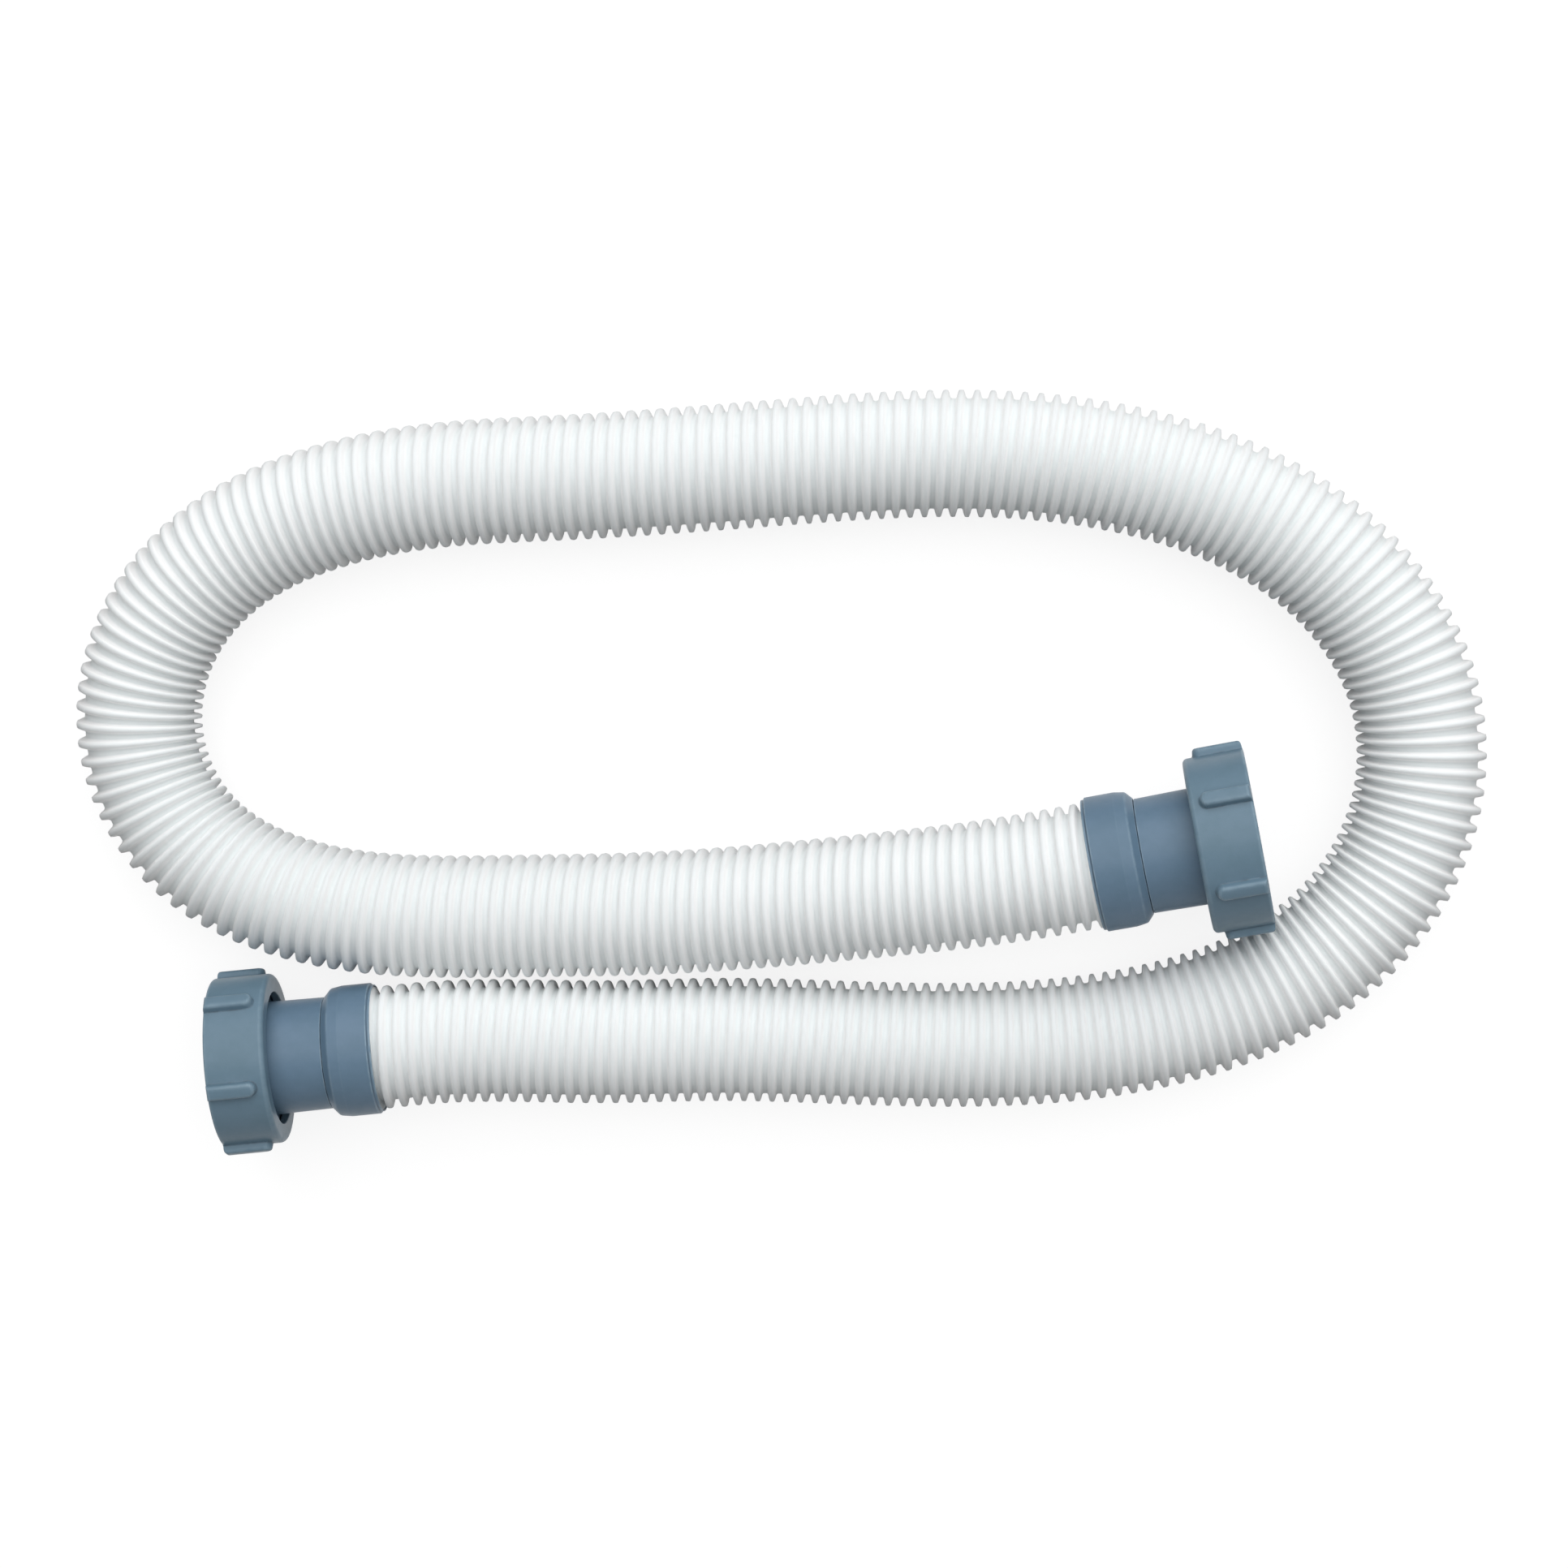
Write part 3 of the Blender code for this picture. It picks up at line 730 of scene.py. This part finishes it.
def make_fitting(letter, finishes):
    """Cuff, flanged tail, gasket, bead of cement and coupling nut of one end."""
    end = ENDS[letter]
    for piece_name, corners, finish, node_name, slot in (
        ("cuff_skin_", CUFF_CORNERS, "cuff", "hose_cuff_", "blue_grey_plastic"),
        ("tail_skin_", TAIL_CORNERS, "cuff", "flanged_tail_", "blue_grey_plastic"),
        ("gasket_skin_", GASKET_CORNERS, "rubber", "gasket_", "black_rubber"),
        ("seal_", BEAD_CORNERS, "seal", None, "white_plastic"),
    ):
        name = piece_name + letter
        mesh = turned_piece(name, corners)
        solid = node_name and node_name + letter
        settle(name, mesh, end, finishes[finish], "hose_and_tails", solid)
    name = "nut_skin_" + letter
    mesh = nut_mesh(name)
    place_on_tail = Matrix.Translation((0.0, 0.0, NUT_START - end["back"]))
    mesh.transform(place_on_tail @ Matrix.Rotation(math.radians(end["turn"]), 4, "Z"))
    settle(
        name, mesh, end, finishes["nut"], "nut_" + letter, "coupling_nut_" + letter,
    )


# ---------------------------------------------------------------- finishes

def cloud_group():
    """Slight unevenness of a moulded colour: wide clouds with a finer mottle in them."""
    tree, given = new_group(
        "Cloudy colour", "ShaderNodeTree",
        (
            ("Coordinates", "Vector"), ("Colour", "Color"), ("Cloud colour", "Color"),
            ("Cloud size", "Float"), ("Amount", "Float"),
        ),
        (("Colour", "Color"), ("Cloud", "Float")),
    )
    wide = sum_of(tree, "DIVIDE", 1.0, given["Cloud size"])
    fine = sum_of(tree, "MULTIPLY", wide, MOTTLE_FINENESS)
    clouds = []
    for scale in (wide, fine):
        texture = node(
            tree, "ShaderNodeTexNoise",
            {"Vector": given["Coordinates"], "Scale": scale, "Detail": 3.0, "Roughness": 0.55},
        )
        clouds.append(texture.outputs["Fac"])
    parts = [sum_of(tree, "MULTIPLY", *pair) for pair in zip(clouds, CLOUD_SHARES)]
    cloud = sum_of(tree, "ADD", *parts)
    spread = node(
        tree, "ShaderNodeMapRange", {"Value": cloud, "From Min": 0.36, "From Max": 0.64},
        interpolation_type="SMOOTHSTEP",
    ).outputs[0]
    share = sum_of(tree, "MULTIPLY", spread, given["Amount"])
    colour = mixed(tree, share, given["Colour"], given["Cloud colour"])
    node(tree, "NodeGroupOutput", {"Colour": colour, "Cloud": spread})
    return tree


def edge_group():
    """Corners painted a little paler as painted highlights, and hollows painted darker as painted
    shade, in patches.
    """
    tree, given = new_group(
        "Edges and hollows", "ShaderNodeTree",
        (
            ("Coordinates", "Vector"), ("Colour", "Color"), ("Edge colour", "Color"),
            ("Hollow colour", "Color"), ("Edge amount", "Float"), ("Hollow amount", "Float"),
        ),
        (("Colour", "Color"),),
    )
    patches = node(
        tree, "ShaderNodeTexNoise", {"Vector": given["Coordinates"], "Scale": 260.0, "Detail": 4.0}
    ).outputs["Fac"]
    patches = node(
        tree, "ShaderNodeMapRange",
        {"Value": patches, "From Min": 0.38, "From Max": 0.6, "To Min": 0.35},
    ).outputs[0]
    colour = given["Colour"]
    # Painted shade in the hollows, then painted highlights on the edges
    for label, tone, amount in (
        ("hollow", given["Hollow colour"], given["Hollow amount"]),
        ("edge", given["Edge colour"], given["Edge amount"]),
    ):
        mark = node(tree, "ShaderNodeAttribute", attribute_name=label).outputs["Fac"]
        patchy = sum_of(tree, "MULTIPLY", mark, patches)
        mask = sum_of(tree, "MULTIPLY", patchy, amount, clamp=True)
        colour = mixed(tree, mask, colour, tone)
    node(tree, "NodeGroupOutput", {"Colour": colour})
    return tree


def grain_group():
    """The skin a mould leaves: a soft waviness with a fine grain on it."""
    tree, given = new_group(
        "Moulded grain", "ShaderNodeTree",
        (
            ("Coordinates", "Vector"), ("Wave size", "Float"), ("Grain size", "Float"),
            ("Grain share", "Float"),
        ),
        (("Height", "Float"), ("Grain", "Float")),
    )
    heights = []
    for size, detail in ((given["Wave size"], 1.0), (given["Grain size"], 2.0)):
        scale = sum_of(tree, "DIVIDE", 1.0, size)
        texture = node(
            tree, "ShaderNodeTexNoise",
            {"Vector": given["Coordinates"], "Scale": scale, "Detail": detail},
        )
        heights.append(texture.outputs["Fac"])
    height = node(
        tree, "ShaderNodeMix", {0: given["Grain share"], 2: heights[0], 3: heights[1]},
        data_type="FLOAT",
    ).outputs[0]
    node(tree, "NodeGroupOutput", {"Height": height, "Grain": heights[1]})
    return tree


def use(tree, group, feeds):
    """The outputs of a node group placed in a material with its own values."""
    return node(tree, "ShaderNodeGroup", feeds, node_tree=group).outputs


def empty_material(name):
    """A material whose node tree is still empty, and that tree."""
    made = bpy.data.materials.new(name)
    made.use_nodes = True
    made.node_tree.nodes.clear()
    return made, made.node_tree


def finish_with(tree, feeds):
    """Close a material with one Principled shader."""
    shader = node(tree, "ShaderNodeBsdfPrincipled", feeds)
    node(tree, "ShaderNodeOutputMaterial", {"Surface": shader.outputs["BSDF"]})


def blue_grey_plastic(name, groups, colours, roughness):
    """Semi-gloss moulded plastic of the fittings."""
    made, tree = empty_material(name)
    where = tree.nodes.new("ShaderNodeTexCoord").outputs["Object"]
    cloudy = use(tree, groups["cloud"], {
        "Coordinates": where, "Colour": colours[0], "Cloud colour": colours[1],
        "Cloud size": 0.016, "Amount": 0.6,
    })
    # Painted highlights on the edges and painted shade in the hollows
    edged = use(tree, groups["edge"], {
        "Coordinates": where, "Colour": cloudy["Colour"], "Edge colour": PAINTED_EDGE_HIGHLIGHT_COLOUR,
        "Hollow colour": PAINTED_HOLLOW_SHADE_COLOUR, "Edge amount": 0.6, "Hollow amount": 0.65,
    })
    grain = use(tree, groups["grain"], {
        "Coordinates": where, "Wave size": 0.0045, "Grain size": 0.00045, "Grain share": 0.35,
    })
    bump = node(
        tree, "ShaderNodeBump", {"Height": grain["Height"], "Strength": 0.22, "Distance": 0.00035}
    )
    limits = roughness - ROUGHNESS_SPREAD, roughness + ROUGHNESS_SPREAD
    rough = between(tree, grain["Grain"], *limits)
    clouding = sum_of(tree, "MULTIPLY", cloudy["Cloud"], ROUGHNESS_SPREAD)
    rough = sum_of(tree, "ADD", rough, clouding)
    finish_with(tree, {
        "Base Color": edged["Colour"], "Roughness": rough, "Normal": bump.outputs["Normal"],
        "IOR": 1.49, "Specular IOR Level": 0.30,
    })
    return made


def white_hose_plastic(groups):
    """Slightly milky white plastic, with painted light that makes the thin flanks of the ridge
    palest.
    """
    made, tree = empty_material("white_hose_plastic")
    where = tree.nodes.new("ShaderNodeTexCoord").outputs["Object"]
    run = node(tree, "ShaderNodeUVMap", uv_map="hose_run").outputs["UV"]
    ridge = node(tree, "ShaderNodeAttribute", attribute_name="ridge").outputs["Fac"]
    bore = node(tree, "ShaderNodeAttribute", attribute_name="bore").outputs["Fac"]
    cloudy = use(tree, groups["cloud"], {
        "Coordinates": where, "Colour": HOSE_RIDGE_COLOUR, "Cloud colour": HOSE_CLOUD_COLOUR,
        "Cloud size": 0.028, "Amount": 0.55,
    })
    streaks = node(tree, "ShaderNodeMapping", {"Vector": run, "Scale": STREAK_SCALE}).outputs[0]
    streaks = node(
        tree, "ShaderNodeTexNoise", {"Vector": streaks, "Scale": 1.0, "Detail": 2.0}
    ).outputs["Fac"]
    groove = sum_of(tree, "SUBTRACT", 1.0, ridge, clamp=True)
    # Painted light: the flanks, halfway up the ridge, are painted paler against their shade
    painted_flank_light = sum_of(tree, "MULTIPLY", groove, ridge)
    painted_flank_light = sum_of(tree, "MULTIPLY", painted_flank_light, FLANK_GAIN, clamp=True)
    groove = sum_of(tree, "MULTIPLY", groove, between(tree, streaks, GROOVE_LEAST, 1.0))
    painted_flank_light = sum_of(tree, "MULTIPLY", painted_flank_light, between(tree, streaks, FLANK_LEAST, 1.0))
    toned = cloudy["Colour"]
    for share, tone in (
        (groove, HOSE_GROOVE_COLOUR), (painted_flank_light, HOSE_FLANK_PAINTED_LIGHT), (bore, HOSE_BORE_COLOUR),
    ):
        toned = mixed(tree, share, toned, tone)
    grain = use(tree, groups["grain"], {
        "Coordinates": where, "Wave size": 0.0030, "Grain size": 0.00040, "Grain share": 0.4,
    })
    relief = sum_of(tree, "MULTIPLY", streaks, STREAK_RELIEF)
    height = sum_of(tree, "ADD", grain["Height"], relief)
    bump = node(tree, "ShaderNodeBump", {"Height": height, "Strength": 0.15, "Distance": 0.0003})
    rough = between(tree, grain["Grain"], *HOSE_ROUGHNESS)
    finish_with(tree, {
        "Base Color": toned, "Roughness": rough, "Normal": bump.outputs["Normal"],
        "IOR": 1.50, "Specular IOR Level": 0.14,
        "Subsurface Weight": 1.0, "Subsurface Radius": (1.0, 1.0, 1.0),
        "Subsurface Scale": 0.0012,
    })
    return made


def dull_finish(name, groups, colours, clouds, grain, bump, roughness, gloss):
    """A matt, slightly uneven surface: the gaskets' rubber and the cement at the cuffs."""
    made, tree = empty_material(name)
    where = tree.nodes.new("ShaderNodeTexCoord").outputs["Object"]
    cloudy = use(tree, groups["cloud"], {
        "Coordinates": where, "Colour": colours[0], "Cloud colour": colours[1],
        "Cloud size": clouds, "Amount": 0.8,
    })
    grained = use(tree, groups["grain"], {"Coordinates": where, **grain})
    bumpy = node(tree, "ShaderNodeBump", {"Height": grained["Height"], **bump})
    finish_with(tree, {
        "Base Color": cloudy["Colour"], "Roughness": between(tree, cloudy["Cloud"], *roughness),
        "Normal": bumpy.outputs["Normal"], "Specular IOR Level": gloss,
    })
    return made


# ---------------------------------------------------------------- floor and light

def seen_directly(tree):
    """1 where the camera, a reflection or a clear material looks, 0 for light that bounces."""
    path = tree.nodes.new("ShaderNodeLightPath").outputs
    seen = sum_of(tree, "MAXIMUM", path["Is Camera Ray"], path["Is Glossy Ray"])
    return sum_of(tree, "MAXIMUM", seen, path["Is Transmission Ray"])


def make_floor():
    """A plain white floor that keeps the hose's shadow."""
    made, tree = empty_material("white_floor")
    matt = node(tree, "ShaderNodeBsdfDiffuse", {"Color": FLOOR_COLOUR}).outputs[0]
    strength = sum_of(tree, "MULTIPLY", seen_directly(tree), FLOOR_GLOW)
    glow = node(tree, "ShaderNodeEmission", {"Strength": strength}).outputs[0]
    both = node(tree, "ShaderNodeAddShader", {0: matt, 1: glow}).outputs[0]
    node(tree, "ShaderNodeOutputMaterial", {"Surface": both})
    half = FLOOR_SIZE / 2
    mesh = bpy.data.meshes.new("floor")
    corners = [(-half, -half, 0), (half, -half, 0), (half, half, 0), (-half, half, 0)]
    mesh.from_pydata(corners, [], [(0, 1, 2, 3)])
    mesh.materials.append(made)
    floor = bpy.data.objects.new("floor", mesh)
    bpy.context.scene.collection.objects.link(floor)


def light_the_scene():
    """Even daylight all round and one large soft lamp high up at the back."""
    world = bpy.data.worlds.new("white_room")
    world.use_nodes = True
    tree = world.node_tree
    tree.nodes.clear()
    strength = between(tree, seen_directly(tree), DAYLIGHT, 1.0)
    background = node(
        tree, "ShaderNodeBackground", {"Strength": strength, "Color": (1.0, 1.0, 1.0, 1.0)}
    )
    node(tree, "ShaderNodeOutputWorld", {"Surface": background.outputs[0]})
    bpy.context.scene.world = world

    lamp = bpy.data.lights.new("soft_lamp", "AREA")
    lamp.shape = "SQUARE"
    lamp.size = KEY_SIZE
    lamp.energy = KEY_POWER
    holder = bpy.data.objects.new("soft_lamp", lamp)
    holder.location = LOOK_AT + KEY_FROM.normalized() * KEY_DISTANCE
    holder.rotation_euler = KEY_FROM.to_track_quat("Z", "Y").to_euler()
    bpy.context.scene.collection.objects.link(holder)
    bpy.context.scene.view_settings.view_transform = "Standard"


# ---------------------------------------------------------------- everything together

set_camera()
shared = {"cloud": cloud_group(), "edge": edge_group(), "grain": grain_group()}
make_hose(white_hose_plastic(shared))
fitting_finishes = {
    "cuff": blue_grey_plastic("blue_grey_tail_plastic", shared, TAIL_COLOURS, 0.38),
    "nut": blue_grey_plastic("blue_grey_nut_plastic", shared, NUT_COLOURS, 0.36),
    "rubber": dull_finish(
        "black_rubber_bloom", shared, RUBBER_COLOURS, clouds=0.006,
        grain={"Wave size": 0.0020, "Grain size": 0.00030, "Grain share": 0.6},
        bump={"Strength": 0.35, "Distance": 0.0003}, roughness=(0.62, 0.80), gloss=0.35,
    ),
    "seal": dull_finish(
        "seal_cement", shared, CEMENT_COLOURS, clouds=0.005,
        grain={"Wave size": 0.0016, "Grain size": 0.00035, "Grain share": 0.4},
        bump={"Strength": 0.5, "Distance": 0.0004}, roughness=(0.50, 0.65), gloss=0.3,
    ),
}
make_fitting("a", fitting_finishes)
make_fitting("b", fitting_finishes)
make_floor()
light_the_scene()
